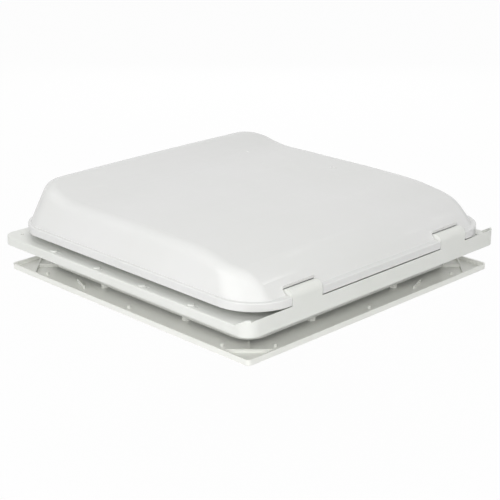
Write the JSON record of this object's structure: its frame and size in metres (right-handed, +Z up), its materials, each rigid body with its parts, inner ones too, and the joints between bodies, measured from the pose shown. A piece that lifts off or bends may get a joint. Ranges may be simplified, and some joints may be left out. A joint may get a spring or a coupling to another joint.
{
  "type": "caravan roof vent",
  "caption": "Square white roof vent with a hinged domed lid, a flanged roof frame, a ceiling frame with a flyscreen, and a hand knob that lifts the lid.",
  "frame": {"origin": "middle of the roof opening, on the roof's outer face under the flange", "axes": "+Z up out of the roof, +X towards the lid's hinges, +Y along the hinge line to the left"},
  "size_m": [0.48, 0.48, 0.1283],
  "materials": {
    "dome_plastic": "glossy white moulding",
    "frame_plastic": "satin white moulding",
    "ceiling_plastic": "satin off-white moulding",
    "screen_plastic": "satin off-white moulding",
    "mechanism_plastic": "light grey glass-filled plastic",
    "gear_plastic": "natural acetal",
    "knob_plastic": "dark grey moulding",
    "rail_aluminium": "satin extruded",
    "steel": "zinc plated",
    "brass": "plain turned",
    "foam": "closed-cell foam",
    "seal_rubber": "soft black rubber",
    "net_mesh": "woven screen",
    "magnet": "plated magnet"
  },
  "bodies": {
    "vent_frame": {"roof_frame": "frame_plastic", "roof_gasket": "foam", "hinge_pins": "steel", "shaft_bracket_left": "mechanism_plastic", "shaft_bracket_right": "mechanism_plastic", "shaft_bushes": "brass", "wall_screws": "steel", "gearbox_housing": "mechanism_plastic", "gearbox_cover": "mechanism_plastic", "cover_screws": "steel", "worm_bush": "brass", "ceiling_frame": "ceiling_plastic", "frame_screws": "steel", "frame_plugs": "ceiling_plastic", "strike_plates": "steel", "screen_pins": "steel"},
    "lid": {"dome_lid": "dome_plastic", "lid_ring": "frame_plastic", "lid_seal": "seal_rubber", "ring_screws": "steel", "guide_rail_left": "rail_aluminium", "guide_rail_right": "rail_aluminium", "rail_screws": "steel"},
    "lift": {"cross_shaft": "steel", "cross_pins": "steel", "lift_arm_left": "mechanism_plastic", "lift_arm_right": "mechanism_plastic", "sector_gear": "gear_plastic", "shaft_clips": "steel", "shoe_pins": "steel"},
    "shoe_left": {"slide_shoe_left": "gear_plastic"},
    "shoe_right": {"slide_shoe_right": "gear_plastic"},
    "crank": {"worm": "gear_plastic", "hand_knob": "knob_plastic", "knob_screw": "steel", "grip_pin": "steel"},
    "grip": {"finger_grip": "knob_plastic"},
    "flyscreen": {"screen_frame": "screen_plastic", "screen_net": "net_mesh", "catch_magnets": "magnet"}
  },
  "joints": [
    {"name": "lid_hinge", "type": "hinge", "parent": "vent_frame", "child": "lid", "pos_m": [0.23, 0, 0.03], "axis": [0, 1, 0], "range_deg": [0, 40]},
    {"name": "lift_turn", "type": "hinge", "parent": "vent_frame", "child": "lift", "pos_m": [0.176, 0, 0.02], "axis": [0, 1, 0], "range_deg": [0, 51.05]},
    {"name": "shoe_left_pivot", "type": "hinge", "parent": "lift", "child": "shoe_left", "pos_m": [0.00704, 0.118, 0.0388], "axis": [0, 1, 0], "range_deg": [-11.05, 0]},
    {"name": "shoe_right_pivot", "type": "hinge", "parent": "lift", "child": "shoe_right", "pos_m": [0.00704, -0.118, 0.0388], "axis": [0, 1, 0], "range_deg": [-11.05, 0]},
    {"name": "knob_turn", "type": "hinge", "parent": "vent_frame", "child": "crank", "pos_m": [0.141, 0, 0], "axis": [0, 0, -1], "range_deg": [0, 1633.78]},
    {"name": "grip_spin", "type": "hinge", "parent": "crank", "child": "grip", "pos_m": [0.122, 0, -0.03], "axis": [0, 0, 1], "continuous": true},
    {"name": "screen_hinge", "type": "hinge", "parent": "vent_frame", "child": "flyscreen", "pos_m": [0.087, 0, -0.0335], "axis": [0, -1, 0], "range_deg": [0, 90]}
  ],
  "couplings": [
    {"joint": "lift_turn", "follows": "lid_hinge", "ratio": 1.276},
    {"joint": "shoe_left_pivot", "follows": "lid_hinge", "ratio": -0.276},
    {"joint": "shoe_right_pivot", "follows": "lid_hinge", "ratio": -0.276},
    {"joint": "knob_turn", "follows": "lid_hinge", "ratio": 40.832}
  ]
}
